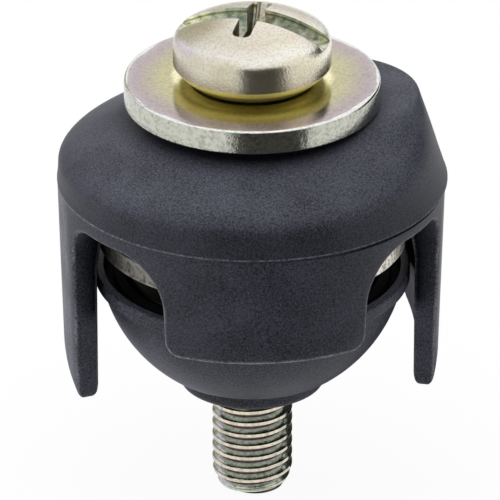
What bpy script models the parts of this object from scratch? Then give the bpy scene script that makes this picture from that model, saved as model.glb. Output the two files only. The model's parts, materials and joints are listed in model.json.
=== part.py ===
# Tap connector with an M5 clamping screw.
# The bowl stands on a tapped bar at Z = 0, and the screw runs down through everything into the bar.
# Wires lie on the bush in the bowl, and the cap presses a round plate down on them.
# Units are metres, +Z is up and -Y is the front.

import math

import bmesh
import bpy
from mathutils import Vector

MM = 0.001

# General fits
seat_gap = 0.1 * MM
bush_clearance = 0.1 * MM
turn_steps = 48

# Clamping screw
thread_diameter = 5.0 * MM
screw_length = 28.0 * MM
tip_diameter = 3.8 * MM
tip_taper = 1.5 * MM
head_diameter = 9.7 * MM
head_height = 4.2 * MM
head_crown_radius = 8.6 * MM
head_corner = 0.5 * MM
head_side_height = 2.1 * MM
head_side_foot = 1.0 * MM
head_seat_diameter = 7.7 * MM
head_undercut_diameter = 9.1 * MM
head_undercut_height = 0.55 * MM
slot_width = 1.7 * MM
slot_depth = 1.6 * MM
cross_width = 1.15 * MM
cross_length = 5.8 * MM
cross_depth = 2.7 * MM
cross_taper = 0.6
slot_turn = math.radians(-21.0)

# Hole that the screw passes in every piece
screw_clearance = 0.25 * MM

# Washer
washer_diameter = 15.7 * MM
washer_thickness = 1.5 * MM
washer_edge = 0.2 * MM

# Pressure plate
plate_clearance = 0.65 * MM
plate_thickness = 1.3 * MM
plate_edge = 0.15 * MM
wire_gap = 1.85 * MM

# Lower body
rim_level = 8.1 * MM
rim_clearance = 0.45 * MM
rim_height = 0.85 * MM
rim_step = 0.4 * MM
rim_wall = 0.6 * MM
groove_width = 0.55 * MM
groove_depth = 0.7 * MM
ridge_width = 0.7 * MM
ridge_drop = 0.3 * MM
bowl_foot_diameter = 11.5 * MM
bowl_foot_height = 1.5 * MM
collar_diameter = 9.2 * MM
collar_height = 1.0 * MM
collar_edge = 0.5 * MM
bowl_bulge = 9.4 * MM
bowl_arc_points = 9

# Contact bush
flange_clearance = 0.3 * MM
flange_thickness = 2.0 * MM
sleeve_diameter = 7.0 * MM

# Insulating cap, measured up and down from its mould seam
cap_diameter = 24.0 * MM
cap_wall = 1.7 * MM
cap_bore_wall = 1.8 * MM
cap_segments = 72
dome_height = 4.98 * MM
boss_drop = 2.72 * MM
boss_diameter = 9.5 * MM
flap_drop = 13.33 * MM
flap_width = 7.4 * MM
flap_end_slant = math.radians(22.0)
skirt_drop = 7.15 * MM
skirt_top_width = 13.6 * MM
skirt_end_width = 13.2 * MM
window_drop = 1.05 * MM
wall_draft = math.radians(1.6)
window_corner = 3.3 * MM
flap_corner = 2.2 * MM
skirt_corner = 1.0 * MM

# Shape of the dome: a low cone all round, with a fuller and steeper flank on the right
shoulder_inset = 0.14 * MM
shoulder_height = 1.6 * MM
front_shoulder_rise = 0.8 * MM
plateau_diameter = 12.3 * MM
flank_inset = 1.32 * MM
flank_rise = 2.85 * MM
flank_reach = 4.33 * MM
flank_direction = math.radians(13.0)
flank_sharpness = 4.8
front_direction = math.radians(-105.0)
front_sharpness = 3.0
corner_share = 0.35
shoulder_points = 5
plateau_points = 4

# Sizes and levels that follow from the ones above
hole_radius = thread_diameter / 2 + screw_clearance
wall_radius = cap_diameter / 2
inner_radius = wall_radius - cap_bore_wall
plate_radius = inner_radius - plate_clearance
rim_radius = inner_radius - rim_clearance
rim_inner_radius = rim_radius - rim_wall
ridge_outer_radius = rim_inner_radius - groove_width
ridge_inner_radius = ridge_outer_radius - ridge_width
ridge_level = rim_level - ridge_drop
flange_radius = ridge_inner_radius - flange_clearance
flange_underside = ridge_level - flange_thickness
uncut_drop = flap_drop + cap_wall
plate_level = rim_level + wire_gap
seam_level = plate_level + plate_thickness + seat_gap + boss_drop
washer_level = seam_level + dome_height + seat_gap
head_level = washer_level + washer_thickness + seat_gap


def clear_scene():
    """Remove every object, so that the file can be run again and again."""
    for old in list(bpy.data.objects):
        bpy.data.objects.remove(old, do_unlink=True)


def make_collection(name):
    """Return a fresh collection that is linked to the scene."""
    fresh = bpy.data.collections.new(name)
    bpy.context.scene.collection.children.link(fresh)
    return fresh


def make_material(name, color, roughness, metallic):
    """A plain Principled finish."""
    finish = bpy.data.materials.new(name)
    finish.use_nodes = True
    shader = finish.node_tree.nodes["Principled BSDF"]
    shader.inputs["Base Color"].default_value = (*color, 1.0)
    shader.inputs["Roughness"].default_value = roughness
    shader.inputs["Metallic"].default_value = metallic
    return finish


def make_object(name, mesh, finish, collection, level=0.0):
    """Put a mesh on the screw's axis, with its own datum at the given level."""
    made = bpy.data.objects.new(name, mesh)
    made.location = (0.0, 0.0, level)
    collection.objects.link(made)
    if finish:
        mesh.materials.append(finish)
    return made


def turned(name, profile, closed, finish, collection, level=0.0):
    """Turn a profile of (radius, height) points round the Z axis with a Screw modifier."""
    points = [(radius, 0.0, height) for radius, height in profile]
    edges = [(index, index + 1) for index in range(len(points) - 1)]
    if closed:
        edges.append((len(points) - 1, 0))
    mesh = bpy.data.meshes.new(name)
    mesh.from_pydata(points, edges, [])
    made = make_object(name, mesh, finish, collection, level)
    spin = made.modifiers.new("Turn", "SCREW")
    spin.steps = turn_steps
    spin.render_steps = turn_steps
    spin.use_merge_vertices = True
    spin.merge_threshold = 0.00001
    spin.use_smooth_shade = True
    return made


def ring_profile(outer, inner, bottom, top, edge):
    """Section of a flat ring whose two outer corners are broken by a small chamfer."""
    return [
        (outer - edge, top),
        (outer, top - edge),
        (outer, bottom + edge),
        (outer - edge, bottom),
        (inner, bottom),
        (inner, top),
    ]


def arc(centre, radius, start, end, count):
    """Points on an arc from one angle to another, both ends included."""
    step = (end - start) / (count - 1)
    return [
        (centre[0] + radius * math.cos(start + step * index),
         centre[1] + radius * math.sin(start + step * index))
        for index in range(count)
    ]


def cut(target, cutter):
    """Take the cutter away from the target with an exact Boolean."""
    cutter.hide_render = True
    cutter.display_type = "WIRE"
    tool = target.modifiers.new(cutter.name, "BOOLEAN")
    tool.operation = "DIFFERENCE"
    tool.solver = "EXACT"
    tool.object = cutter


def screw_profile():
    """Section of the screw from the crown down to the tip, with its datum under the head."""
    rim = head_diameter / 2
    shank = thread_diameter / 2
    seat = head_seat_diameter / 2
    edge_angle = math.acos((rim - head_corner) / head_crown_radius)
    crown = arc((0.0, head_height - head_crown_radius), head_crown_radius, math.pi / 2, edge_angle, 5)
    edge = Vector(crown[-1])
    corner = Vector((rim, edge.y - head_corner / math.tan(edge_angle)))
    side = rounded(edge, corner, Vector((rim, head_side_height)), 5)
    lower = [
        (rim, head_side_foot),
        (head_undercut_diameter / 2, head_undercut_height),
        (seat, 0.0),
        (shank, 0.0),
        (shank, -screw_length + tip_taper),
        (tip_diameter / 2, -screw_length),
        (0.0, -screw_length),
    ]
    return [(0.0, head_height), *crown[1:-1], *side, *lower]


def make_recess_cutters(collection):
    """The straight slot right across the head, and the tapered cross wing square to it."""
    reach = head_diameter * 1.2
    above = head_height * 0.05

    slot_mesh = bpy.data.meshes.new("slot_cutter")
    bm = bmesh.new()
    bmesh.ops.create_cube(bm, size=1.0)
    bmesh.ops.scale(bm, vec=(reach, slot_width, slot_depth + above), verts=bm.verts)
    bmesh.ops.translate(bm, vec=(0.0, 0.0, (above - slot_depth) / 2), verts=bm.verts)
    bm.to_mesh(slot_mesh)
    bm.free()
    slot_level = head_level + head_height
    slot = make_object("slot_cutter", slot_mesh, None, collection, slot_level)
    slot.rotation_euler = (0.0, 0.0, slot_turn)

    cross_mesh = bpy.data.meshes.new("cross_cutter")
    bm = bmesh.new()
    bmesh.ops.create_cube(bm, size=1.0)
    bmesh.ops.scale(bm, vec=(cross_width, cross_length, cross_depth + above), verts=bm.verts)
    bmesh.ops.translate(bm, vec=(0.0, 0.0, (above - cross_depth) / 2), verts=bm.verts)
    floor = [vert for vert in bm.verts if vert.co.z < 0.0]
    bmesh.ops.scale(bm, vec=(1.0, cross_taper, 1.0), verts=floor)
    bm.to_mesh(cross_mesh)
    bm.free()
    cross = make_object("cross_cutter", cross_mesh, None, collection, slot_level)
    cross.rotation_euler = (0.0, 0.0, slot_turn)
    return slot, cross


def make_screw(finish, collection, cutters):
    """Pan head screw: turned blank, then the slot and the cross wing are cut."""
    screw = turned("clamping_screw", screw_profile(), False, finish, collection, head_level)
    for cutter in make_recess_cutters(cutters):
        cut(screw, cutter)
    return screw


def bowl_profile():
    """Section of the lower body: rim band, round bowl, collar, bush seat, ridge and groove."""
    collar = collar_diameter / 2
    foot = bowl_foot_diameter / 2
    sleeve_hole = sleeve_diameter / 2 + bush_clearance
    floor = flange_underside - seat_gap
    start = Vector((rim_radius - rim_step, rim_level - rim_height))
    end = Vector((foot, bowl_foot_height))
    chord = end - start
    middle = (start + end) / 2
    inward = Vector((chord.y, -chord.x)).normalized()
    centre = middle + inward * math.sqrt(bowl_bulge ** 2 - (chord.length / 2) ** 2)
    first = math.atan2(start.y - centre.y, start.x - centre.x)
    last = math.atan2(end.y - centre.y, end.x - centre.x)
    bowl = arc(centre, bowl_bulge, first, last, bowl_arc_points)
    collar_corner = arc((collar - collar_edge, collar_edge), collar_edge, 0.0, -math.pi / 2, 4)
    return [
        (rim_radius, rim_level),
        (rim_radius, rim_level - rim_height),
        *bowl,
        (collar, collar_height),
        *collar_corner,
        (sleeve_hole, 0.0),
        (sleeve_hole, floor),
        (ridge_inner_radius, floor),
        (ridge_inner_radius, ridge_level),
        (ridge_outer_radius, ridge_level),
        (ridge_outer_radius, rim_level - groove_depth),
        (rim_inner_radius, rim_level - groove_depth),
        (rim_inner_radius, rim_level),
    ]


def bush_profile():
    """Section of the flanged bush: wide flange under the wires, sleeve down to the bar."""
    return [
        (flange_radius, ridge_level),
        (flange_radius, flange_underside),
        (sleeve_diameter / 2, flange_underside),
        (sleeve_diameter / 2, 0.0),
        (hole_radius, 0.0),
        (hole_radius, ridge_level),
    ]


def swell(angle, direction, sharpness):
    """1 in one direction round the axis, and fading smoothly to 0 on the far side."""
    return ((1.0 + math.cos(angle - direction)) / 2) ** sharpness


def dome_corners(angle):
    """Seam, shoulder and plateau corners of the cap's outside in one direction."""
    flank = swell(angle, flank_direction, flank_sharpness)
    front = swell(angle, front_direction, front_sharpness)
    seam = Vector((wall_radius, 0.0))
    shoulder = Vector((
        wall_radius - shoulder_inset - flank_inset * flank,
        shoulder_height + front_shoulder_rise * front + flank_rise * flank,
    ))
    plateau = Vector((plateau_diameter / 2 + flank_reach * flank, dome_height))
    return seam, shoulder, plateau


def rounded(before, corner, after, count):
    """A quadratic curve that rounds a corner, as points from one side to the other."""
    points = []
    for index in range(count):
        share = index / (count - 1)
        points.append(before * (1 - share) ** 2 + corner * 2 * share * (1 - share) + after * share ** 2)
    return points


def cap_section(angle):
    """Closed section of the uncut cap in one direction, from the flap's outer end round to its inside."""
    seam, shoulder, plateau = dome_corners(angle)
    shoulder_start = shoulder.lerp(seam, corner_share)
    shoulder_end = shoulder.lerp(plateau, corner_share)
    plateau_start = plateau.lerp(shoulder, corner_share)
    flat = min(plateau.x - hole_radius, (plateau - plateau_start).length)
    plateau_end = plateau - Vector((flat, 0.0))
    outside = [Vector((wall_radius - uncut_drop * math.tan(wall_draft), -uncut_drop)), seam]
    outside += rounded(shoulder_start, shoulder, shoulder_end, shoulder_points)
    outside += rounded(plateau_start, plateau, plateau_end, plateau_points)

    boss = boss_diameter / 2
    ceiling = dome_height - 1.1 * cap_wall
    arch = Vector((shoulder.x - cap_wall, min(shoulder.y - 0.7 * cap_wall, ceiling - 0.2 * cap_wall)))
    arch.x = min(arch.x, inner_radius)
    crown_radius = min(plateau.x - 0.35 * cap_wall, arch.x - 0.6 * cap_wall)
    inside = [
        Vector((hole_radius, dome_height)),
        Vector((hole_radius, -boss_drop)),
        Vector((boss, -boss_drop)),
        Vector((boss, ceiling)),
        Vector((crown_radius, ceiling)),
        arch,
        Vector((inner_radius, -window_drop / 2)),
        Vector((inner_radius, -uncut_drop)),
    ]
    return outside + inside


def loft_cap():
    """Loft the sections round the axis into one closed mesh."""
    bm = bmesh.new()
    loops = []
    for index in range(cap_segments):
        angle = 2 * math.pi * index / cap_segments
        direction = Vector((math.cos(angle), math.sin(angle), 0.0))
        loops.append([
            bm.verts.new(direction * point.x + Vector((0.0, 0.0, point.y)))
            for point in cap_section(angle)
        ])
    for index, loop in enumerate(loops):
        after = loops[(index + 1) % cap_segments]
        for step in range(len(loop)):
            onward = (step + 1) % len(loop)
            bm.faces.new((loop[step], after[step], after[onward], loop[onward]))
    bmesh.ops.recalc_face_normals(bm, faces=bm.faces)
    mesh = bpy.data.meshes.new("insulating_cap")
    bm.to_mesh(mesh)
    bm.free()
    return mesh


def fillet(before, corner, after, radius, count=5):
    """Points of the arc that rounds one corner of a flat outline."""
    back = (before - corner).normalized()
    ahead = (after - corner).normalized()
    half = back.angle(ahead) / 2
    start = corner + back * (radius / math.tan(half))
    end = corner + ahead * (radius / math.tan(half))
    centre = corner + (back + ahead).normalized() * (radius / math.sin(half))
    points = []
    for index in range(count):
        ray = (start - centre).lerp(end - centre, index / (count - 1)).normalized()
        points.append(centre + ray * radius)
    return points


def window_outline():
    """Unrolled outline of all that is cut away between the two flaps, round one short skirt."""
    edge = wall_radius * math.pi / 2 - flap_width / 2
    below = -uncut_drop - cap_wall
    corners = [
        (Vector((edge, below)), 0.0),
        (Vector((edge, -window_drop)), flap_corner),
        (Vector((skirt_top_width / 2, -window_drop)), window_corner),
        (Vector((skirt_end_width / 2, -skirt_drop)), skirt_corner),
    ]
    corners += [(Vector((-corner.x, corner.y)), radius) for corner, radius in reversed(corners)]
    outline = []
    for index, (corner, radius) in enumerate(corners):
        if radius == 0.0:
            outline.append(corner)
            continue
        before = corners[index - 1][0]
        after = corners[(index + 1) % len(corners)][0]
        outline += fillet(before, corner, after, radius)
    return outline


def filled_outline_mesh(name, outline, thickness, collection):
    """Fill a flat outline, give it a thickness, and return it as a welded mesh."""
    curve = bpy.data.curves.new(name, "CURVE")
    curve.dimensions = "2D"
    curve.fill_mode = "BOTH"
    curve.extrude = thickness / 2
    spline = curve.splines.new("POLY")
    spline.points.add(len(outline) - 1)
    for point, place in zip(spline.points, outline):
        point.co = (place.x, place.y, 0.0, 1.0)
    spline.use_cyclic_u = True
    holder = bpy.data.objects.new(name, curve)
    collection.objects.link(holder)
    bpy.context.view_layer.update()
    graph = bpy.context.evaluated_depsgraph_get()
    mesh = bpy.data.meshes.new_from_object(holder.evaluated_get(graph))
    bpy.data.objects.remove(holder, do_unlink=True)
    bpy.data.curves.remove(curve)
    bm = bmesh.new()
    bm.from_mesh(mesh)
    bmesh.ops.remove_doubles(bm, verts=bm.verts, dist=0.000001)
    bm.to_mesh(mesh)
    bm.free()
    return mesh


def wrap_round_axis(mesh):
    """Slice a flat slab into narrow strips and bend it round the Z axis, onto the cap's wall."""
    bm = bmesh.new()
    bm.from_mesh(mesh)
    strip = 2 * math.pi * wall_radius / cap_segments
    reach = max(vert.co.x for vert in bm.verts)
    count = int(reach / strip)
    for index in range(-count, count + 1):
        everything = bm.verts[:] + bm.edges[:] + bm.faces[:]
        bmesh.ops.bisect_plane(
            bm, geom=everything, dist=0.0000001,
            plane_co=(index * strip, 0.0, 0.0), plane_no=(1.0, 0.0, 0.0),
        )
    for vert in bm.verts:
        angle = vert.co.x / wall_radius
        radius = wall_radius + vert.co.z
        vert.co = (radius * math.sin(angle), -radius * math.cos(angle), vert.co.y)
    bmesh.ops.triangulate(bm, faces=bm.faces)
    bmesh.ops.recalc_face_normals(bm, faces=bm.faces)
    bm.to_mesh(mesh)
    bm.free()


def make_flap_end_cutter(collection):
    """A block with a slanted top: it ends both flaps low at the front and higher at the back."""
    mesh = bpy.data.meshes.new("flap_end_cutter")
    bm = bmesh.new()
    bmesh.ops.create_cube(bm, size=1.0)
    bmesh.ops.scale(bm, vec=(cap_diameter * 1.2, flap_width * 1.5, flap_drop / 2), verts=bm.verts)
    bmesh.ops.translate(bm, vec=(0.0, 0.0, -flap_drop / 4), verts=bm.verts)
    bm.to_mesh(mesh)
    bm.free()
    middle = seam_level - flap_drop + flap_width / 2 * math.tan(flap_end_slant)
    cutter = make_object("flap_end_cutter", mesh, None, collection, middle)
    cutter.rotation_euler = (flap_end_slant, 0.0, 0.0)
    return cutter


def make_cap(finish, collection, cutters):
    """The moulded cap: lofted shell, then the windows, the skirts' ends and the flaps' ends are cut."""
    cap = make_object("insulating_cap", loft_cap(), finish, collection, seam_level)
    slab = filled_outline_mesh("window_cutter", window_outline(), 4 * cap_bore_wall, cutters)
    wrap_round_axis(slab)
    for name, turn in (("front_window_cutter", 0.0), ("back_window_cutter", math.pi)):
        cutter = make_object(name, slab, None, cutters, seam_level)
        cutter.rotation_euler = (0.0, 0.0, turn)
        cut(cap, cutter)
    cut(cap, make_flap_end_cutter(cutters))
    return cap


def make_carrier(name, collection, level):
    """An empty on the screw's axis that carries the pieces that move together."""
    carrier = bpy.data.objects.new(name, None)
    carrier.location = (0.0, 0.0, level)
    collection.objects.link(carrier)
    return carrier


def hang_on(carrier, pieces):
    """Parent pieces to a carrier without moving them."""
    for piece in pieces:
        piece.parent = carrier
        piece.location.z -= carrier.location.z


def build():
    """Make every piece of the connector."""
    clear_scene()
    parts = make_collection("tap_connector")
    cutters = make_collection("tap_connector_cutters")
    zinc = make_material("yellow_zinc", (0.72, 0.66, 0.47), 0.28, 1.0)
    pale_zinc = make_material("pale_zinc", (0.74, 0.72, 0.64), 0.4, 1.0)
    bush_metal = make_material("dull_brass", (0.35, 0.3, 0.2), 0.5, 1.0)
    cap_plastic = make_material("cap_plastic", (0.045, 0.047, 0.055), 0.6, 0.0)
    body_plastic = make_material("body_plastic", (0.05, 0.052, 0.06), 0.6, 0.0)

    turned("lower_body", bowl_profile(), True, body_plastic, parts)
    turned("contact_bush", bush_profile(), True, bush_metal, parts)

    carrier = make_carrier("clamp_carrier", parts, plate_level)
    plate_section = ring_profile(plate_radius, hole_radius, 0.0, plate_thickness, plate_edge)
    plate = turned("pressure_plate", plate_section, True, pale_zinc, parts, plate_level)
    cap = make_cap(cap_plastic, parts, cutters)
    washer_section = ring_profile(washer_diameter / 2, hole_radius, 0.0, washer_thickness, washer_edge)
    washer = turned("top_washer", washer_section, True, zinc, parts, washer_level)
    make_screw(zinc, parts, cutters)
    hang_on(carrier, (plate, cap, washer))
    bpy.context.view_layer.update()


build()
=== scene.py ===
# %% [markdown]
# # A tap connector, from its solids to a finished picture
# A tap connector clamps wires round a screw and fastens them to a bar. A black moulded cap sits under a
# thick washer and a pan head screw. The cap presses a metal plate down on wires that lie across a black
# bowl. This lesson dresses the plain solids of that connector: every visible piece gets a finer mesh with
# soft edges, and a finish of its own. The solids are loaded first, and they fix every place and size.

# %% Load the solids
import json
import math

import bmesh
import bpy
from mathutils import Matrix, Vector

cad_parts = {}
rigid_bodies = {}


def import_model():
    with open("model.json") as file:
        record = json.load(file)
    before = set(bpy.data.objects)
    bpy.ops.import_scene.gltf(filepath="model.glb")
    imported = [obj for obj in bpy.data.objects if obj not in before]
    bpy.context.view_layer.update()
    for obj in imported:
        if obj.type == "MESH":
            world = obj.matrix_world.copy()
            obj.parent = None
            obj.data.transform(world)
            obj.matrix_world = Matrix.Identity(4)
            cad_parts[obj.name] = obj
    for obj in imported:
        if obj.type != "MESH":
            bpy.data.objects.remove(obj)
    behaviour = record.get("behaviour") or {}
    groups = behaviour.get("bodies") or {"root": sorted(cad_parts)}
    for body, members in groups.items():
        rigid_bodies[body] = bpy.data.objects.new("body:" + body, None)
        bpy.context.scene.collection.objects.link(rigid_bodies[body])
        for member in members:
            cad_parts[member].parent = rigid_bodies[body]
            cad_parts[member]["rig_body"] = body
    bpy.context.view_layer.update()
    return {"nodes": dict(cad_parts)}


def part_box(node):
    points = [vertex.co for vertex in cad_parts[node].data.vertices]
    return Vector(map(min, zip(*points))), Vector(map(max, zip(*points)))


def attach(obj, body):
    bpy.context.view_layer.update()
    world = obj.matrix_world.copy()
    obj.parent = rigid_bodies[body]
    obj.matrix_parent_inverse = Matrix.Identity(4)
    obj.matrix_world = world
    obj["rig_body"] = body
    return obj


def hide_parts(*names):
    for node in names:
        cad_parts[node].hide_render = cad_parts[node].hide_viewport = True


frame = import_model()
MM = 0.001
print("solids:", sorted(frame["nodes"]))

# %% [markdown]
# ## Measures that every step shares
# The solids give the levels: where the cap's mould seam lies, where the washer and the head sit, and how
# wide each piece is. Reading them from the solids, and not typing them again, keeps the fine meshes in
# place if the solids change.

# %% Read the levels and radii of the solids
screw_low, screw_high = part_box("clamping_screw")
washer_low, washer_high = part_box("top_washer")
cap_low, cap_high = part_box("insulating_cap")
plate_low, plate_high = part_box("pressure_plate")
bush_low, bush_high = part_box("contact_bush")
bowl_low, bowl_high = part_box("lower_body")

DOME_HEIGHT = 4.98 * MM
HOLE_RADIUS = 2.75 * MM
# Points nearer than this are the same point
TOUCH = 0.001 * MM
wall_radius = cap_high.x
seam_level = cap_high.z - DOME_HEIGHT
floor_level = screw_low.z
print("seam level, in mm:", round(seam_level / MM, 3), "wall radius:", round(wall_radius / MM, 3))


# %% [markdown]
# ## Helpers for turned pieces
# Most pieces here are turned or pressed round the screw's axis, so one helper rounds the corners of a
# profile and another spins it. Real edges are never sharp: each corner gets its own small radius, which
# is what catches the light in a picture.

# %% Round the corners of a profile
def rounded_profile(corners, segments=4):
    """Replace each (radius, height, rounding) corner of a closed profile by a small arc."""
    points = []
    for index, (across, up, rounding) in enumerate(corners):
        corner = Vector((across, up))
        if rounding == 0.0:
            points.append(corner)
            continue
        before = Vector(corners[index - 1][:2])
        after = Vector(corners[(index + 1) % len(corners)][:2])
        back = (before - corner).normalized()
        ahead = (after - corner).normalized()
        half = back.angle(ahead) / 2
        start = corner + back * (rounding / math.tan(half))
        end = corner + ahead * (rounding / math.tan(half))
        centre = corner + (back + ahead).normalized() * (rounding / math.sin(half))
        for step in range(segments + 1):
            ray = (start - centre).lerp(end - centre, step / segments).normalized()
            points.append(centre + ray * rounding)
    return points


# %% Spin a profile round the axis
def profile_chain(bm, points, closed=False):
    """Add (radius, height) points to a mesh as a chain of vertices and edges."""
    chain = [bm.verts.new((across, 0.0, up)) for across, up in points]
    first = 0 if closed else 1
    return chain + [bm.edges.new((chain[index - 1], chain[index])) for index in range(first, len(chain))]


def spin_round(bm, chain, steps, angle=2 * math.pi, climb=0.0, merge=True):
    """Sweep vertices and edges round the Z axis, and climb a little at each step for a helix."""
    bmesh.ops.spin(
        bm, geom=chain, cent=(0, 0, 0), axis=(0, 0, 1), dvec=(0, 0, climb),
        angle=angle, steps=steps, use_merge=merge, use_duplicate=False,
    )


def spun_body(points, steps, closed=True):
    """A body with a closed profile, or with an open one whose two ends lie on the axis."""
    bm = bmesh.new()
    spin_round(bm, profile_chain(bm, points, closed), steps)
    bmesh.ops.remove_doubles(bm, verts=bm.verts, dist=TOUCH)
    bmesh.ops.recalc_face_normals(bm, faces=bm.faces)
    return bm


# %% Turn, join and store meshes
def turn_round(bm, angle):
    """Turn a whole mesh round the Z axis."""
    bmesh.ops.rotate(bm, cent=(0, 0, 0), matrix=Matrix.Rotation(angle, 3, "Z"), verts=bm.verts)


def join_mesh(bm, other):
    """Move a second mesh into the first one."""
    spare = bpy.data.meshes.new("spare")
    other.to_mesh(spare)
    other.free()
    bm.from_mesh(spare)
    bpy.data.meshes.remove(spare)


def link_mesh(name, bm):
    """Store a mesh as an object of the scene."""
    mesh = bpy.data.meshes.new(name)
    bm.to_mesh(mesh)
    bm.free()
    item = bpy.data.objects.new(name, mesh)
    bpy.context.scene.collection.objects.link(item)
    return item


def outward_from_axis(point):
    """The direction straight away from the Z axis."""
    return Vector((point.x, point.y, 0.0)).normalized()


def open_edges(bm):
    """How many edges don't join exactly two faces."""
    return sum(1 for edge in bm.edges if not edge.is_manifold)


# %% Turn a mesh into a finished piece
def add_piece(name, bm, finish, node, sharp_angle=40.0):
    """Store the mesh as an object that stands for one solid and rides with that solid's body."""
    piece = link_mesh(name, bm)
    piece.data.materials.append(finish)
    piece.data.shade_smooth()
    piece.data.set_sharp_from_angle(angle=math.radians(sharp_angle))
    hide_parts(node)
    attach(piece, frame["nodes"][node]["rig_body"])
    print(name, "faces:", len(piece.data.polygons))
    return piece


# %% [markdown]
# ## Shared surface effects
# Some effects come back on several pieces. Moulded plastic has a fine matt grain and pale streaks where
# its edges are worn or carry painted highlights, and plated metal has a mottled sheen with tiny dents from
# tumbling. Many colours also follow a place on the connector, some of them as painted light and shade. Each
# effect is a node group with named inputs, so that every finish can set its own scale and strength.

# %% Helpers that add shader nodes
def add_node(tree, kind, inputs=None, **settings):
    """Add a shader node, set its options, and give each input a value or a link from another node."""
    node = tree.nodes.new("ShaderNode" + kind)
    for option, value in settings.items():
        setattr(node, option, value)
    for socket, value in (inputs or {}).items():
        if isinstance(value, bpy.types.NodeSocket):
            tree.links.new(value, node.inputs[socket])
        else:
            node.inputs[socket].default_value = value
    return node


def calculate(tree, operation, *values, clamp=False):
    """The result of a Math node on two or three values."""
    inputs = dict(enumerate(values))
    return add_node(tree, "Math", inputs, operation=operation, use_clamp=clamp).outputs["Value"]


def spread(tree, value, low, high, start=0.0, end=1.0, clamp=True):
    """The result of a Map Range node that moves low..high to start..end."""
    inputs = {"Value": value, "From Min": low, "From Max": high, "To Min": start, "To Max": end}
    return add_node(tree, "MapRange", inputs, clamp=clamp).outputs["Result"]


def noise(tree, position, scale, detail, roughness=0.5):
    """The outputs of a Noise Texture node."""
    inputs = {"Vector": position, "Scale": scale, "Detail": detail, "Roughness": roughness}
    return add_node(tree, "TexNoise", inputs).outputs


def scaled(tree, color, amount):
    """A colour that is made lighter or darker."""
    inputs = {"Vector": color, "Scale": amount}
    return add_node(tree, "VectorMath", inputs, operation="SCALE").outputs["Vector"]


def mixed(tree, share, first, second, blend="MIX"):
    """The result of a Mix node for colours."""
    inputs = {"Factor": share, "A": first, "B": second}
    return add_node(tree, "Mix", inputs, data_type="RGBA", blend_type=blend).outputs["Result"]


def layer_value(tree, name):
    """The value that a mesh stores under a name."""
    return add_node(tree, "Attribute", attribute_name=name).outputs["Fac"]


def color_bands(tree, rows, share):
    """A ColorRamp with one stop for each (measure, color) row."""
    ramp = add_node(tree, "ValToRGB", {"Fac": share})
    stops = ramp.color_ramp.elements
    low, high = rows[0][0], rows[-1][0]
    for index, (level, color) in enumerate(rows):
        spot = (level - low) / (high - low)
        stop = stops[index] if index < 2 else stops.new(spot)
        stop.position = spot
        stop.color = (*color, 1.0)
    return ramp.outputs["Color"]


# %% Helpers that make and place a node group
def new_group(name, inputs, outputs):
    """Start a shader node group and return it with its inputs and its output node's sockets."""
    group = bpy.data.node_groups.new(name, "ShaderNodeTree")
    for label, kind, value in inputs:
        socket = group.interface.new_socket(label, in_out="INPUT", socket_type="NodeSocket" + kind)
        socket.default_value = value
    for label, kind in outputs:
        group.interface.new_socket(label, in_out="OUTPUT", socket_type="NodeSocket" + kind)
    return group, group.nodes.new("NodeGroupInput").outputs, group.nodes.new("NodeGroupOutput").inputs


def place_group(tree, group, inputs):
    """Put a shared effect into a material with its own values, and return its outputs."""
    return add_node(tree, "Group", inputs, node_tree=group).outputs


# %% Where a point lies on the connector
def make_measure_group():
    """The distance from the axis, the height, a domed height and the place from left to right."""
    group, given, result = new_group(
        "place_measures",
        [("Position", "Vector", (0, 0, 0)),
         ("Crown Radius", "Float", 8.6 * MM), ("Reach", "Float", 8.4 * MM)],
        [("Radius", "Float"), ("Height", "Float"), ("Crown", "Float"), ("Sideways", "Float")],
    )
    parts = add_node(group, "SeparateXYZ", {"Vector": given["Position"]}).outputs
    flat = add_node(group, "CombineXYZ", {"X": parts["X"], "Y": parts["Y"]}).outputs["Vector"]
    radius = add_node(group, "VectorMath", {0: flat}, operation="LENGTH").outputs["Value"]
    square = add_node(group, "VectorMath", {0: flat, 1: flat}, operation="DOT_PRODUCT").outputs["Value"]
    crown_width = calculate(group, "MULTIPLY", given["Crown Radius"], 2.0)
    drop = calculate(group, "DIVIDE", square, crown_width)
    left_end = calculate(group, "MULTIPLY", given["Reach"], -1.0)
    group.links.new(radius, result["Radius"])
    group.links.new(parts["Z"], result["Height"])
    group.links.new(calculate(group, "ADD", parts["Z"], drop), result["Crown"])
    group.links.new(spread(group, parts["X"], left_end, given["Reach"]), result["Sideways"])
    return group


# %% Worn edges and painted highlights
def make_wear_and_highlight_group():
    """Break a value of wear and painted highlight up into upright streaks, as a mask."""
    group, given, result = new_group(
        "wear_and_highlight_streaks",
        [("Position", "Vector", (0, 0, 0)), ("Wear And Highlight", "Float", 0.0),
         ("Streak Scale", "Float", 3500.0), ("Least Wear", "Float", 0.3)],
        [("Mask", "Float")],
    )
    stretched = add_node(group, "Mapping", {"Vector": given["Position"], "Scale": (1.0, 1.0, 0.18)})
    streaks = noise(group, stretched.outputs["Vector"], given["Streak Scale"], 3.0)
    patchy = spread(group, streaks["Fac"], 0.36, 0.62, given["Least Wear"])
    group.links.new(calculate(group, "MULTIPLY", given["Wear And Highlight"], patchy, clamp=True), result["Mask"])
    return group


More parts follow.
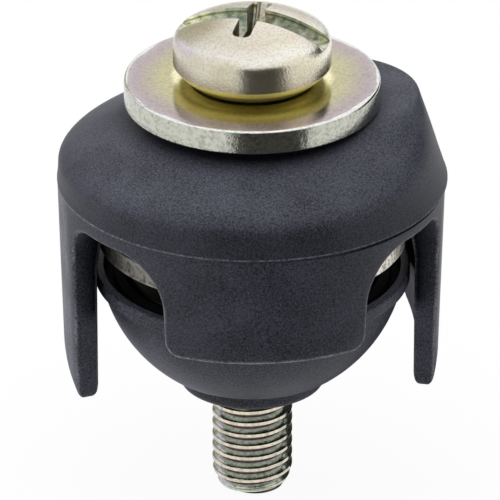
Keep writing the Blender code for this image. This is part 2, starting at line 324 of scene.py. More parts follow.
# %% The grain of moulded plastic
def make_grain_group():
    """Fine speckle and slow patches, as a tone near 1 and a height."""
    group, given, result = new_group(
        "moulded_grain",
        [("Position", "Vector", (0, 0, 0)), ("Speckle Scale", "Float", 9000.0),
         ("Patch Scale", "Float", 350.0), ("Contrast", "Float", 0.3)],
        [("Tone", "Float"), ("Height", "Float")],
    )
    speckle = noise(group, given["Position"], given["Speckle Scale"], 2.0, 0.6)["Fac"]
    patches = noise(group, given["Position"], given["Patch Scale"], 1.0)["Fac"]
    patch_share = 0.25
    together = calculate(group, "MULTIPLY_ADD", patches, patch_share, speckle)
    centred = calculate(group, "SUBTRACT", together, 0.5 + 0.5 * patch_share)
    tone = calculate(group, "MULTIPLY_ADD", centred, given["Contrast"], 1.0)
    group.links.new(tone, result["Tone"])
    group.links.new(speckle, result["Height"])
    return group


# %% The mottled sheen of plated metal
def make_plating_group():
    """Fine dents, tinted speckle with dark flecks, and a slow drift to add to a measure."""
    group, given, result = new_group(
        "plated_mottle",
        [("Position", "Vector", (0, 0, 0)), ("Flecks", "Float", 0.3),
         ("Speckle", "Float", 0.3), ("Dent Scale", "Float", 4000.0)],
        [("Color", "Color"), ("Dents", "Float"), ("Drift", "Float")],
    )
    slow = noise(group, given["Position"], 300.0, 2.0)["Fac"]
    fine = noise(group, given["Position"], given["Dent Scale"], 3.0, 0.65)
    darkest = calculate(group, "SUBTRACT", 1.0, given["Flecks"])
    flecks = spread(group, fine["Fac"], 0.3, 0.56, darkest)
    tint = mixed(group, given["Speckle"], (0.5, 0.5, 0.5, 1.0), fine["Color"])
    lifted = add_node(group, "VectorMath", {0: tint, 1: (0.5, 0.5, 0.5)}, operation="ADD").outputs["Vector"]
    group.links.new(scaled(group, lifted, flecks), result["Color"])
    group.links.new(fine["Fac"], result["Dents"])
    group.links.new(calculate(group, "SUBTRACT", slow, 0.5), result["Drift"])
    return group


# %% Build each group once
measure_group = make_measure_group()
wear_and_highlight_group = make_wear_and_highlight_group()
grain_group = make_grain_group()
plating_group = make_plating_group()
print("groups:", [group.name for group in (measure_group, wear_and_highlight_group, grain_group, plating_group)])


# %% Start and finish a material
def new_finish(name):
    """Start a material and return it with its node tree, its shader and the place on the connector."""
    finish = bpy.data.materials.new(name)
    finish.use_nodes = True
    tree = finish.node_tree
    return finish, tree, tree.nodes["Principled BSDF"], add_node(tree, "TexCoord").outputs["Object"]


def wire_shader(tree, shader, color, roughness, height, strength, distance):
    """Feed a colour, a roughness and a bump height to the shader."""
    bumps = add_node(tree, "Bump", {"Height": height, "Strength": strength, "Distance": distance})
    tree.links.new(color, shader.inputs["Base Color"])
    tree.links.new(roughness, shader.inputs["Roughness"])
    tree.links.new(bumps.outputs["Normal"], shader.inputs["Normal"])


# %% [markdown]
# ## The black plastic
# The cap and the bowl are dark bluish grey with a dull sheen. The grain is so fine that it shows as
# speckle. It shades the colour a little and also drives a Bump node, so that highlights break up as on real
# mould texture. A ramp over the height paints light and shade, with painted shade on the shoulder, and a
# painted shadow darkens the plastic close to the washer. The meshes store how worn each edge is, with
# painted highlights on edges and on the parting line, and the wear group turns that value into pale streaks.
# They also store a painted shade for the sheltered inside of the cap, where hardly any light comes back.

# %% Finish for moulded plastic
# Painted shadow of the washer: the plastic darkens towards the axis between these radii
WASHER_SHADOW_START, WASHER_SHADOW_END = 7.2 * MM, 8.6 * MM
# Colour left where the painted inner shade is full
SHELTERED_TONE = 0.15
GRAIN_DEPTH = 0.02 * MM


def make_plastic(name, color, worn_and_highlight_color, roughness, contrast, bump, light_and_shade_by_height, washer_shadow_tone=1.0, sheen=0.25):
    """Dark matt plastic with grain, pale worn edges with painted highlights, painted light and shade by
    height, a painted shadow at the washer and painted shade inside.
    """
    finish, tree, shader, place = new_finish(name)
    grain = place_group(tree, grain_group, {"Position": place, "Contrast": contrast})
    measures = place_group(tree, measure_group, {"Position": place})
    painted_inner_shade = layer_value(tree, "painted_inner_shade")

    # Painted light and shade by height
    height = spread(tree, measures["Height"], light_and_shade_by_height[0][0], light_and_shade_by_height[-1][0])
    painted_height_shade = color_bands(tree, [(level, (tone, tone, tone)) for level, tone in light_and_shade_by_height], height)
    # Painted shadow under the washer
    washer_shadow = spread(tree, measures["Radius"], WASHER_SHADOW_START, WASHER_SHADOW_END, washer_shadow_tone)
    # Painted shade on the inside of the cap
    exposed = calculate(tree, "MULTIPLY_ADD", painted_inner_shade, SHELTERED_TONE - 1.0, 1.0)
    shade = scaled(tree, painted_height_shade, calculate(tree, "MULTIPLY", washer_shadow, exposed))
    shaded = mixed(tree, 1.0, (*color, 1.0), shade, "MULTIPLY")
    # Pale streaks for worn edges and for painted highlights
    wear_and_highlight = place_group(tree, wear_and_highlight_group, {"Position": place, "Wear And Highlight": layer_value(tree, "edge_wear_and_highlight")})
    paled = mixed(tree, wear_and_highlight["Mask"], shaded, (*worn_and_highlight_color, 1.0))
    grained = mixed(tree, 1.0, paled, grain["Tone"], "MULTIPLY")

    matt = calculate(tree, "MULTIPLY_ADD", grain["Height"], 0.2, roughness - 0.1)
    wire_shader(tree, shader, grained, matt, grain["Height"], bump, GRAIN_DEPTH)
    # The painted inner shade also takes the sheen away
    gloss = calculate(tree, "MULTIPLY_ADD", painted_inner_shade, -sheen, sheen, clamp=True)
    tree.links.new(gloss, shader.inputs["Specular IOR Level"])
    return finish


# Painted light on the lower wall, and painted shade on the shoulder just above the seam
cap_light_and_shade = [
    (0.0, 1.2), (6.5 * MM, 1.15), (8.0 * MM, 0.9), (seam_level - 0.3 * MM, 0.88),
    (seam_level + 0.1 * MM, 0.58), (seam_level + 1.2 * MM, 0.62), (seam_level + 2.6 * MM, 1.0),
    (cap_high.z, 1.0),
]
# Painted light on the bowl, lightest on the rim's top
bowl_light_and_shade = [(0.0, 1.0), (1.5 * MM, 1.1), (bowl_high.z - 0.02 * MM, 1.15), (bowl_high.z, 1.4)]
cap_plastic = make_plastic(
    "cap_plastic_finish", color=(0.048, 0.050, 0.066), worn_and_highlight_color=(0.44, 0.44, 0.48),
    roughness=0.5, contrast=4.2, bump=0.6, light_and_shade_by_height=cap_light_and_shade, washer_shadow_tone=0.35)
body_plastic = make_plastic(
    "body_plastic_finish", color=(0.043, 0.045, 0.060), worn_and_highlight_color=(0.36, 0.36, 0.40),
    roughness=0.5, contrast=6.0, bump=0.8, light_and_shade_by_height=bowl_light_and_shade)
# Painted shade: the inside of the bowl lies in deep shade, so its plastic is near black and gets almost no
# sheen
painted_shade_plastic = make_plastic(
    "painted_shade_inner_finish", color=(0.006, 0.006, 0.008), worn_and_highlight_color=(0.02, 0.02, 0.02),
    roughness=0.6, contrast=2.0, bump=0.3, light_and_shade_by_height=bowl_light_and_shade, sheen=0.02)
print("plastic finishes ready")


# %% [markdown]
# ## The plated metal
# Yellow passivated zinc is a mirror-like metal whose thin coat drifts between cream, green and violet.
# Each finish lays its colours out by place: along the distance from the axis, along the height, or along a
# value stored in the mesh. The rows hold the coat's colours and also painted highlights and painted shade.
# Slow noise lets the bands wander.

# %% Finish for plated metal
CROWN_RADIUS = 8.6 * MM
DENT_DEPTH = 0.01 * MM


def make_plating(
    name, measure, rows, roughness, dents, flecks, speckle, dent_scale=4000.0, drift=0.0, left=1.0, right=1.0,
):
    """Plated metal whose colours follow "Radius", "Height", "Crown" or a layer of the mesh, scaled from left
    to right as painted light and shade.
    """
    finish, tree, shader, place = new_finish(name)
    shader.inputs["Metallic"].default_value = 1.0
    measures = place_group(tree, measure_group, {"Position": place, "Crown Radius": CROWN_RADIUS})
    built_in = measure in ("Radius", "Height", "Crown")
    measured = measures[measure] if built_in else layer_value(tree, measure)
    coat = place_group(tree, plating_group, {
        "Position": place, "Flecks": flecks, "Speckle": speckle, "Dent Scale": dent_scale})

    share = spread(tree, measured, rows[0][0], rows[-1][0], clamp=False)
    wandering = calculate(tree, "MULTIPLY_ADD", coat["Drift"], drift, share)
    # Painted light and shade from left to right
    painted_side_light = spread(tree, measures["Sideways"], 0.0, 1.0, left, right)
    tint = scaled(tree, color_bands(tree, rows, wandering), painted_side_light)
    mottled = mixed(tree, 1.0, tint, coat["Color"], "MULTIPLY")
    satin = calculate(tree, "MULTIPLY_ADD", coat["Drift"], 0.16, roughness)
    wire_shader(tree, shader, mottled, satin, coat["Dents"], 1.0, dents * DENT_DEPTH)
    return finish


# %% The coat's colours on each part with painted highlights and shade, as (measure, color) rows
HEAD_HEIGHT = 4.192 * MM
head_level = washer_high.z + 0.1 * MM
head_top = head_level + HEAD_HEIGHT
washer_edge = washer_high.x
# Painted highlight: the bright band at 4.4 mm follows the crown's rounded edge
head_rows = [
    (0.0, (0.94, 0.88, 0.77)), (3.2 * MM, (0.82, 0.76, 0.63)), (4.4 * MM, (0.96, 0.93, 0.85)),
    (4.8 * MM, (0.80, 0.75, 0.59)), (5.2 * MM, (0.60, 0.54, 0.38)),
]
# Painted shade: darker near the seat under the head
undercut_rows = [
    (3.85 * MM, (0.36, 0.31, 0.13)), (4.35 * MM, (0.42, 0.37, 0.17)), (4.55 * MM, (1.0, 0.93, 0.46)),
    (4.9 * MM, (1.0, 0.94, 0.54)), (5.2 * MM, (0.68, 0.62, 0.40)),
]
# Painted shade on the recess's floor and in a dark line under its lip, and a painted highlight on the lip
recess_rows = [
    (head_top - 2.7 * MM, (0.15, 0.15, 0.12)), (head_top - 1.7 * MM, (0.55, 0.54, 0.40)),
    (head_top - 1.3 * MM, (0.70, 0.74, 0.77)), (head_top - 0.8 * MM, (0.73, 0.75, 0.70)),
    (head_top - 0.4 * MM, (0.74, 0.75, 0.58)), (head_top - 0.24 * MM, (0.26, 0.27, 0.17)),
    (head_top - 0.17 * MM, (0.97, 0.95, 0.72)), (head_top, (1.0, 0.98, 0.84)),
]
# Painted shade: the narrow wing is near black, with a painted highlight at its top edge
wing_rows = [
    (head_top - 2.7 * MM, (0.05, 0.05, 0.04)), (head_top - 0.2 * MM, (0.16, 0.15, 0.13)),
    (head_top, (0.9, 0.88, 0.8)),
]
# Painted shade at the root and in a dark line just under the crest
thread_rows = [
    (0.0, (0.16, 0.12, 0.10)), (0.12, (0.30, 0.23, 0.21)), (0.26, (0.54, 0.55, 0.53)),
    (0.74, (0.56, 0.62, 0.53)), (0.84, (0.26, 0.29, 0.18)), (0.92, (0.32, 0.32, 0.24)),
    (0.96, (0.80, 0.76, 0.60)), (1.0, (0.76, 0.69, 0.57)),
]
# Painted highlight: the bright band on the washer's rounded upper edge
washer_rows = [
    (4.0 * MM, (1.0, 0.95, 0.60)), (4.75 * MM, (1.0, 0.95, 0.60)), (5.1 * MM, (0.60, 0.55, 0.32)),
    (5.6 * MM, (0.60, 0.56, 0.33)), (6.4 * MM, (0.53, 0.47, 0.37)), (7.1 * MM, (0.50, 0.42, 0.43)),
    (washer_edge - 0.26 * MM, (0.55, 0.49, 0.50)), (washer_edge - 0.17 * MM, (0.92, 0.92, 0.90)),
    (washer_edge - 0.1 * MM, (0.90, 0.90, 0.88)),
]
# Painted highlight on the upper rounding of the washer's side
rim_rows = [
    (washer_edge - 0.16 * MM, (0.95, 0.95, 0.92)), (washer_edge - 0.06 * MM, (0.88, 0.88, 0.84)),
    (washer_edge - 0.02 * MM, (0.56, 0.57, 0.49)), (washer_edge, (0.58, 0.59, 0.51)),
]
plate_rows = [
    (plate_low.z, (0.95, 0.93, 0.87)), (plate_low.z + 0.14 * MM, (0.92, 0.90, 0.82)),
    (plate_low.z + 0.24 * MM, (0.64, 0.61, 0.53)), (plate_low.z + 0.9 * MM, (0.74, 0.71, 0.63)),
    (plate_high.z, (0.88, 0.85, 0.78)),
]
# Painted shade: the bush lies deep in the bowl's shade, so its colours are near black
bush_shade_rows = [(2.0 * MM, (0.035, 0.03, 0.025)), (8.0 * MM, (0.03, 0.027, 0.023))]

# %% The metal finishes
# left and right scale the colours: painted shade on the crown's left, painted light on its right
head_metal = make_plating(
    "head_plating", "Radius", head_rows, roughness=0.24, dents=1.6, flecks=0.22, speckle=0.2,
    dent_scale=6000.0, drift=0.3, left=0.68, right=1.2)
undercut_metal = make_plating(
    "undercut_plating", "Radius", undercut_rows, roughness=0.46, dents=0.6, flecks=0.1, speckle=0.2)
# The recess is lighter on the left and darker on the right, as painted light and shade
recess_metal = make_plating(
    "recess_plating", "Crown", recess_rows, roughness=0.16, dents=0.6, flecks=0.5, speckle=0.4,
    dent_scale=2600.0, drift=0.04, left=1.4, right=0.9)
thread_metal = make_plating(
    "thread_plating", "thread_share", thread_rows, roughness=0.16, dents=1.2, flecks=0.4, speckle=0.4,
    dent_scale=3600.0, drift=0.16)
washer_metal = make_plating(
    "washer_plating", "Radius", washer_rows, roughness=0.12, dents=0.7, flecks=0.25, speckle=0.25,
    dent_scale=5500.0, drift=0.2)
rim_metal = make_plating(
    "washer_rim_plating", "Radius", rim_rows, roughness=0.16, dents=2.0, flecks=0.4, speckle=0.2,
    dent_scale=3800.0)
# The plate is much darker on the left as painted shade, and lighter on the right as painted light
plate_metal = make_plating(
    "plate_plating", "Height", plate_rows, roughness=0.5, dents=1.0, flecks=0.8, speckle=0.2,
    dent_scale=3600.0, drift=0.3, left=0.25, right=1.5)
wing_metal = make_plating(
    "wing_plating", "Crown", wing_rows, roughness=0.2, dents=1.0, flecks=0.8, speckle=0.3, dent_scale=3000.0)
bush_metal = make_plating(
    "bush_metal_finish", "Radius", bush_shade_rows, roughness=0.5, dents=0.5, flecks=0.5, speckle=0.0)
print("metal finishes ready")

# %% [markdown]
# ## The bowl, the bush and the plate
# These are plain rings round the screw. Each is a closed profile with a rounding at every corner, spun
# round the axis. The bowl carries a thin rim, then a groove and a lower ridge ring inside it, and ends
# below in a round collar.

# %% Sizes of the bowl
ROUND_STEPS = 128
RIM_WIDTH = 0.6 * MM
BAND_HEIGHT = 0.85 * MM
GROOVE_WIDTH = 0.55 * MM
RIDGE_WIDTH = 0.7 * MM
SLEEVE_HOLE = 3.6 * MM
FLANK_BULGE = 9.4 * MM
HAIR = 0.01 * MM
rim = bowl_high.x
rim_level = bowl_high.z
rim_inner = rim - RIM_WIDTH
ridge_outer = rim_inner - GROOVE_WIDTH
ridge_inner = ridge_outer - RIDGE_WIDTH
ridge_level = rim_level - 0.3 * MM
groove_level = rim_level - 0.7 * MM
bush_floor = ridge_level - 2.1 * MM


# %% The bowl
def bowl_curve(start, end, bulge, count):
    """Points of the bowl's round flank between the rim band and the foot."""
    chord = end - start
    inward = Vector((chord.y, -chord.x)).normalized()
    centre = (start + end) / 2 + inward * math.sqrt(bulge ** 2 - (chord.length / 2) ** 2)
    first = math.atan2(start.y - centre.y, start.x - centre.x)
    last = math.atan2(end.y - centre.y, end.x - centre.x)
    angles = [first + (last - first) / (count - 1) * index for index in range(count)]
    return [(centre.x + bulge * math.cos(turn), centre.y + bulge * math.sin(turn), 0.0) for turn in angles]


band_foot = Vector((rim - 0.4 * MM, rim_level - BAND_HEIGHT))
collar_top = Vector((5.75 * MM, 1.5 * MM))
bowl_corners = [
    (rim, rim_level, 0.12 * MM),
    (rim, rim_level - BAND_HEIGHT, 0.12 * MM),
    *bowl_curve(band_foot, collar_top, FLANK_BULGE, 20),
    (4.62 * MM, 1.0 * MM, 0.08 * MM),
    (4.6 * MM, bowl_low.z, 0.5 * MM),
    (SLEEVE_HOLE, bowl_low.z, 0.0),
    (SLEEVE_HOLE, bush_floor, 0.0),
    (ridge_inner, bush_floor, 0.0),
    (ridge_inner, ridge_level, 0.1 * MM),
    (ridge_outer, ridge_level, 0.1 * MM),
    (ridge_outer, groove_level, 0.0),
    (rim_inner, groove_level, 0.0),
    (rim_inner, rim_level, 0.1 * MM),
]
bowl_mesh = spun_body(rounded_profile(bowl_corners), ROUND_STEPS)
# Faces inside the bowl get the near-black finish of painted shade
for face in bowl_mesh.faces:
    centre = face.calc_center_median()
    inside = centre.z > bush_floor - HAIR and centre.to_2d().length < rim_inner + 2 * HAIR
    faces_in = face.normal.dot(outward_from_axis(centre)) < 0.3
    if inside and (faces_in or centre.z > groove_level - HAIR):
        face.material_index = 1
bowl = add_piece("bowl", bowl_mesh, body_plastic, "lower_body")
bowl.data.materials.append(painted_shade_plastic)

# %% The bush and the pressure plate
SLEEVE_RADIUS = 3.5 * MM
FLANGE_HEIGHT = 2.0 * MM
bush_corners = [
    (bush_high.x, bush_high.z, 0.15 * MM),
    (bush_high.x, bush_high.z - FLANGE_HEIGHT, 0.1 * MM),
    (SLEEVE_RADIUS, bush_high.z - FLANGE_HEIGHT, 0.0),
    (SLEEVE_RADIUS, bush_low.z, 0.1 * MM),
    (HOLE_RADIUS, bush_low.z, 0.1 * MM),
    (HOLE_RADIUS, bush_high.z, 0.15 * MM),
]
bush_mesh = spun_body(rounded_profile(bush_corners), 96)
add_piece("bush", bush_mesh, bush_metal, "contact_bush")


def flat_ring(low, high, top_round, foot_round, hole_round, steps):
    """A flat ring with the screw's hole, between two corners of its box."""
    return spun_body(rounded_profile([
        (high.x, high.z, top_round),
        (high.x, low.z, foot_round),
        (HOLE_RADIUS, low.z, hole_round),
        (HOLE_RADIUS, high.z, hole_round),
    ]), steps)


plate_mesh = flat_ring(plate_low, plate_high, 0.12 * MM, 0.12 * MM, 0.08 * MM, ROUND_STEPS)
add_piece("plate", plate_mesh, plate_metal, "pressure_plate")

# %% [markdown]
# ## The washer
# The washer is stamped from thick sheet. Its upper edge is rounded by tumbling and carries a painted
# highlight, and its rim is straight and a little rough.

# %% The washer
washer_mesh = flat_ring(washer_low, washer_high, 0.16 * MM, 0.1 * MM, 0.08 * MM, 160)
# The side faces get a finish with a painted highlight on their upper rounding
for face in washer_mesh.faces:
    if abs(face.normal.z) < 0.6 and face.calc_center_median().to_2d().length > 5.0 * MM:
        face.material_index = 1
washer = add_piece("washer", washer_mesh, washer_metal, "top_washer")
washer.data.materials.append(rim_metal)

# %% [markdown]
# ## The screw
# The head is turned from an open profile, then a straight slot and a shorter tapered wing across it are
# cut with a Boolean. The thread is one zigzag spun a full turn while it climbs by one pitch, so that the
# end of each tooth meets the start of the next and the result is a true helix.

# %% The screw's head
head_radius = screw_high.x
SEAT_RADIUS = 3.85 * MM
CROWN_INSET = 0.5 * MM
SIDE_FOOT, SIDE_TOP = 1.0 * MM, 2.1 * MM


def soft_corner(before, corner, after, count):
    """A quadratic curve that rounds a corner, as points from one side to the other."""
    shares = [index / (count - 1) for index in range(count)]
    return [before * (1 - s) ** 2 + corner * 2 * s * (1 - s) + after * s ** 2 for s in shares]


def head_profile():
    """From the crown down the rounded side, the undercut and the seat, as (radius, height) points."""
    last = math.asin((head_radius - CROWN_INSET) / CROWN_RADIUS)
    leans = [last * index / 12 for index in range(13)]
    crown = [
        Vector((CROWN_RADIUS * math.sin(lean), head_top - CROWN_RADIUS * (1 - math.cos(lean))))
        for lean in leans
    ]
    edge = crown[-1]
    corner = Vector((head_radius, edge.y - CROWN_INSET * math.tan(last)))
    side = soft_corner(edge, corner, Vector((head_radius, head_level + SIDE_TOP)), 9)
    foot = Vector((head_radius, head_level + SIDE_FOOT))
    undercut = Vector((4.55 * MM, head_level + 0.55 * MM))
    seat = Vector((SEAT_RADIUS, head_level))
    lower = soft_corner(foot, undercut, undercut.lerp(seat, 0.8), 7)
    return crown + side[1:] + lower + [seat, Vector((0.0, head_level))]


# %% A helper that cuts one mesh with others
def cut_away(bm, cutters):
    """Take the cutter meshes away from a mesh with an exact Boolean, and return the result."""
    target = link_mesh("target", bm)
    tools = [link_mesh("tool", cutter) for cutter in cutters]
    for tool in tools:
        modifier = target.modifiers.new("Cut", "BOOLEAN")
        modifier.operation = "DIFFERENCE"
        modifier.solver = "EXACT"
        modifier.object = tool
    bpy.context.view_layer.update()
    graph = bpy.context.evaluated_depsgraph_get()
    result = bpy.data.meshes.new_from_object(target.evaluated_get(graph))
    for spare in [target, *tools]:
        bpy.data.objects.remove(spare)
    done = bmesh.new()
    done.from_mesh(result)
    bpy.data.meshes.remove(result)
    return done


# %% Cut the slot and the cross wing
SLOT_TURN = math.radians(-21.0)
ABOVE_HEAD = 0.21 * MM


def recess_block(length, width, depth, taper, rounding, turn):
    """A block that reaches down into the head. Its floor is shorter by the taper, and its ends are round."""
    bm = bmesh.new()
    bmesh.ops.create_cube(bm, size=1.0)
    bmesh.ops.scale(bm, vec=(length, width, depth + ABOVE_HEAD), verts=bm.verts)
    bmesh.ops.translate(bm, vec=(0, 0, head_top + (ABOVE_HEAD - depth) / 2), verts=bm.verts)
    low = [vert for vert in bm.verts if vert.co.z < head_top]
    bmesh.ops.scale(bm, vec=(taper, 1.0, 1.0), verts=low)
    upright = [edge for edge in bm.edges if abs(edge.verts[0].co.z - edge.verts[1].co.z) > depth / 2]
    bmesh.ops.bevel(
        bm, geom=upright, offset=rounding, offset_type="OFFSET", affect="EDGES", segments=5, profile=0.5)
    turn_round(bm, turn)
    return bm


slot_block = recess_block(12.0 * MM, 1.7 * MM, 1.6 * MM, 1.0, 0.1 * MM, SLOT_TURN)
wing_block = recess_block(5.8 * MM, 1.15 * MM, 2.7 * MM, 0.6, 0.4 * MM, SLOT_TURN + math.pi / 2)
head = cut_away(spun_body(head_profile(), ROUND_STEPS, closed=False), [slot_block, wing_block])
print("head faces after the cuts:", len(head.faces))


# %% The thread
PITCH = 0.8 * MM
CREST = 2.5 * MM
ROOT = 2.03 * MM
CREST_ROUND = 0.03 * MM
TIP_SHARE = 0.78
TIP_LENGTH = 1.5 * MM
PHASE = -0.1 * MM


def clamped(value):
    """A value held between 0 and 1."""
    return min(1.0, max(0.0, value))


def cut_ends(bm, low, high):
    """Cut a mesh off at two levels, and close both ends."""
    for level, facing in ((low, -1), (high, 1)):
        cut = bmesh.ops.bisect_plane(
            bm, geom=bm.verts[:] + bm.edges[:] + bm.faces[:], dist=TOUCH / 10,
            plane_co=(0, 0, level), plane_no=(0, 0, facing), clear_outer=True,
        )
        rim_edges = [item for item in cut["geom_cut"] if isinstance(item, bmesh.types.BMEdge)]
        bmesh.ops.holes_fill(bm, edges=rim_edges, sides=0)


def threaded_shank(low, high, steps):
    """A right-handed thread between two levels, tapered at its lower end, closed at both ends."""
    bm = bmesh.new()
    tooth = [
        (ROOT, 0.0), (ROOT, 0.02 * MM), (CREST - CREST_ROUND, 0.26 * MM), (CREST, 0.29 * MM),
        (CREST, 0.49 * MM), (CREST - CREST_ROUND, 0.52 * MM), (ROOT, 0.76 * MM),
    ]
    points = []
    for turn in range(math.ceil((high - low) / PITCH) + 3):
        start = low - 1.5 * PITCH + turn * PITCH + PHASE
        points += [(across, start + up) for across, up in tooth]
    spin_round(bm, profile_chain(bm, points), steps, climb=PITCH / steps, merge=False)
    bmesh.ops.remove_doubles(bm, verts=bm.verts, dist=2 * TOUCH)
    cut_ends(bm, low, high)
    share = bm.verts.layers.float.new("thread_share")
    for vert in bm.verts:
        bare = clamped((vert.co.z - low - 0.1 * MM) / (0.5 * MM))
        vert[share] = bare * (vert.co.to_2d().length - ROOT) / (CREST - ROOT)
        along = min(1.0, (vert.co.z - low) / TIP_LENGTH)
        narrow = TIP_SHARE + (1.0 - TIP_SHARE) * math.sin(along * math.pi / 2)
        vert.co.x *= narrow
        vert.co.y *= narrow
    bmesh.ops.recalc_face_normals(bm, faces=bm.faces)
    return bm


# %% Join the screw and share out its finishes
SHANK_OVERLAP = 0.3 * MM
THREAD, RECESS, UNDERCUT, WING = 1, 2, 3, 4
shank = threaded_shank(screw_low.z, head_level + SHANK_OVERLAP, 64)
print("thread faces:", len(shank.faces), "open edges:", open_edges(shank))
join_mesh(head, shank)
head.normal_update()
undercut_end = head_level + 1.2 * MM
along_slot = Vector((math.cos(SLOT_TURN), math.sin(SLOT_TURN), 0.0))
for face in head.faces:
    centre = face.calc_center_median()
    walled = face.normal.z < 0.3 and face.normal.dot(outward_from_axis(centre)) < 0.5
    if centre.z < head_level - HAIR:
        face.material_index = THREAD
    elif centre.z < undercut_end and face.normal.z < -0.02:
        face.material_index = UNDERCUT
    elif centre.z > undercut_end and (walled or face.normal.z > 0.9999):
        face.material_index = WING if face.normal.dot(along_slot) > 0.9 else RECESS
screw = add_piece("screw", head, head_metal, "clamping_screw", 35.0)
for finish in (thread_metal, recess_metal, undercut_metal, wing_metal):
    screw.data.materials.append(finish)

# %% [markdown]
# ## The cap's wall with its flaps, skirts and windows
# The wall is drawn flat first, as if unrolled: a comb-shaped outline with a long flap at each end and a
# short skirt in the middle. On the flat plate a bevel rounds every edge of the windows evenly. The plate
# is then sliced into narrow strips and bent round the axis. It makes the front half. The back half is
# drawn the same way, with flap ends that slope the other way, so that each flap meets its own other half.

# %% Sizes of the cap's wall
CAP_STEPS = 144
CAP_THICK = 1.8 * MM
EDGE_ROUND = 0.28 * MM
END_ROUND = 0.95 * MM
FLAP_WIDTH = 7.4 * MM
SKIRT_DROP = 7.15 * MM
WINDOW_DROP = 1.05 * MM
DRAFT = math.tan(math.radians(1.6))
END_SLOPE = math.tan(math.radians(22.0))
# The rounding of a flap's lowest corner takes this much off its length
CORNER_LOSS = 0.3 * MM
quarter = wall_radius * math.pi / 2
flap_edge = quarter - FLAP_WIDTH / 2
strip = 2 * math.pi * wall_radius / CAP_STEPS
flap_drop = seam_level - cap_low.z + CORNER_LOSS
middle_drop = flap_drop - FLAP_WIDTH / 2 * END_SLOPE
print("flap ends below the seam, in mm:", round(flap_drop / MM, 2), round(middle_drop / MM, 2))


# %% Draw the comb outline
def comb_outline(edge_drop):
    """Unrolled outline of half the wall: right flap, window, skirt, window, left flap."""
    right = [
        (quarter, 0.0, 0.0),
        (quarter, -middle_drop, 0.0),
        (flap_edge, -edge_drop, 0.4 * MM),
        (flap_edge, -WINDOW_DROP, 2.2 * MM),
        (6.8 * MM, -WINDOW_DROP, 3.3 * MM),
        (6.6 * MM, -SKIRT_DROP, 1.0 * MM),
    ]
    left = [(-across, up, rounding) for across, up, rounding in reversed(right)]
    return rounded_profile(right + left, 10)


# %% A flat comb-shaped plate with rounded edges
def flat_comb(edge_drop):
    """The plate, open at the seam and at the middle of each flap, with every free edge bevelled."""
    bm = bmesh.new()
    rim_verts = [bm.verts.new((point.x, point.y, 0.0)) for point in comb_outline(edge_drop)]
    sheet = bm.faces.new(rim_verts)
    raised = bmesh.ops.extrude_face_region(bm, geom=[sheet])
    lifted = [item for item in raised["geom"] if isinstance(item, bmesh.types.BMVert)]
    bmesh.ops.translate(bm, vec=(0, 0, CAP_THICK), verts=lifted)
    bmesh.ops.recalc_face_normals(bm, faces=bm.faces)
    open_faces = []
    for face in bm.faces:
        at_seam = all(abs(vert.co.y) < TOUCH for vert in face.verts)
        at_middle = all(abs(abs(vert.co.x) - quarter) < TOUCH for vert in face.verts)
        if at_seam or at_middle:
            open_faces.append(face)
    bmesh.ops.delete(bm, geom=open_faces, context="FACES")
    edges = []
    for edge in bm.edges:
        flat = abs(edge.verts[0].co.z - edge.verts[1].co.z) < TOUCH
        if flat and len(edge.link_faces) == 2:
            edges.append(edge)
    bmesh.ops.bevel(
        bm, geom=edges, offset=EDGE_ROUND, offset_type="OFFSET", affect="EDGES",
        segments=4, profile=0.5, material=-1, clamp_overlap=True,
    )
    return bm


# %% Note where the edges are worn and where they get painted highlights
def mark_wear_and_highlight(bm):
    """Make the middle of every bevel the most worn, with a painted highlight there, as a value that the
    finish can read; the skirt's lower edge gets the most.
    """
    wear_and_highlight = bm.verts.layers.float.new("edge_wear_and_highlight")
    for vert in bm.verts:
        depth = min(vert.co.z, CAP_THICK - vert.co.z)
        turn = math.degrees(math.acos(max(0.0, 1.0 - depth / EDGE_ROUND)))
        at_skirt_end = -SKIRT_DROP - 0.1 * MM < vert.co.y < -SKIRT_DROP + 0.9 * MM
        vert[wear_and_highlight] = (0.9 if at_skirt_end else 0.4) * max(0.0, 1.0 - abs(turn - 45.0) / 45.0)


# %% Slice the plate into strips
SLICE_DROPS = (0.04, 0.08, 0.24, 0.3, 3.0, 3.8, 4.6, 7.3, 7.8, 8.3)
END_INSETS = (0.025, 0.08, 0.17, 0.29, 0.45, 0.65, 0.95)
flap_start = flap_edge - 0.1 * MM


def slice_across(bm, faces, point, normal):
    """Cut some faces of a mesh along a plane, and keep both sides."""
    near = set(faces)
    edges = {edge for face in near for edge in face.edges}
    verts = {vert for face in near for vert in face.verts}
    bmesh.ops.bisect_plane(
        bm, geom=[*verts, *edges, *near], dist=TOUCH / 10, plane_co=point, plane_no=normal)


def slice_comb(bm, slope, lean):
    """Slice the flat plate into strips, at some levels, and along the sloping ends of its flaps."""
    for index in range(-CAP_STEPS // 4, CAP_STEPS // 4 + 1):
        slice_across(bm, bm.faces, (index * strip, 0, 0), (1, 0, 0))
    for drop in SLICE_DROPS:
        slice_across(bm, bm.faces, (0, -drop * MM, 0), (0, 1, 0))
    for side in (-1, 1):
        for inset in END_INSETS:
            flap = [face for face in bm.faces if side * face.calc_center_median().x > flap_start]
            start = -middle_drop + inset * MM * lean
            slice_across(bm, flap, (side * quarter, start, 0), (-side * slope, 1, 0))


# %% Round the flaps' ends and bend the plate round the axis
SEAM_BAND = 0.06 * MM
GROOVE_FOOT = 0.26 * MM
SHELTER_FOOT = 8.3 * MM
ROOT_FOOT = 4.6 * MM


def swell(angle, direction, sharpness):
    """1 in one direction round the axis, and fading smoothly to 0 on the far side."""
    return ((1.0 + math.cos(angle - direction)) / 2) ** sharpness


